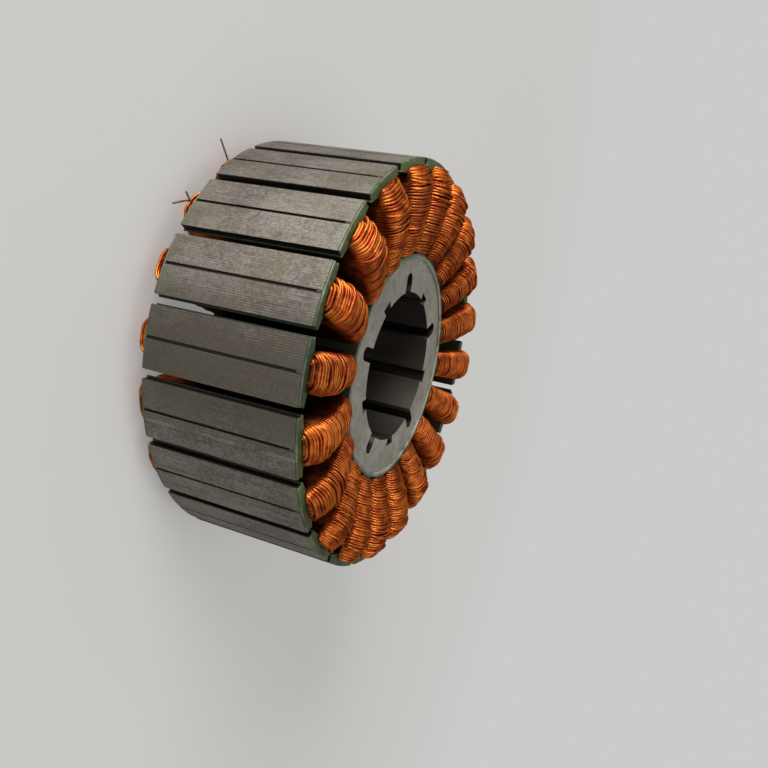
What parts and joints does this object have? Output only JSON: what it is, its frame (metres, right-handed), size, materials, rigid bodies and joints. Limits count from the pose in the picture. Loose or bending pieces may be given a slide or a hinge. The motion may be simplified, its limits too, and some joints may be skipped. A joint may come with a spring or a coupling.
{
  "type": "wound stator",
  "caption": "Ring-shaped outer-rotor motor stator: a laminated steel stack with a notched bore, radial teeth with pole shoes, a green insulating coat and a copper coil on every tooth.",
  "frame": {"origin": "centre of the bore's axis, on the plane that the lower coil heads stand on", "axes": "+Z along the bore axis, out of the stack's front face; +X along the middle of one tooth"},
  "size_m": [0.1, 0.1, 0.0481],
  "materials": {
    "lamination_steel": "satin",
    "green_coat": "semi-gloss",
    "copper_wire": "satin"
  },
  "bodies": {
    "root": {"lamination_stack": "lamination_steel", "epoxy_coating": "green_coat", "coil_01": "copper_wire", "coil_02": "copper_wire", "coil_03": "copper_wire", "coil_04": "copper_wire", "coil_05": "copper_wire", "coil_06": "copper_wire", "coil_07": "copper_wire", "coil_08": "copper_wire", "coil_09": "copper_wire", "coil_10": "copper_wire", "coil_11": "copper_wire", "coil_12": "copper_wire", "coil_13": "copper_wire", "coil_14": "copper_wire", "coil_15": "copper_wire", "coil_16": "copper_wire", "coil_17": "copper_wire", "coil_18": "copper_wire", "coil_19": "copper_wire", "coil_20": "copper_wire", "lead_wire_1": "copper_wire", "lead_wire_2": "copper_wire", "lead_wire_3": "copper_wire"}
  },
  "joints": []
}
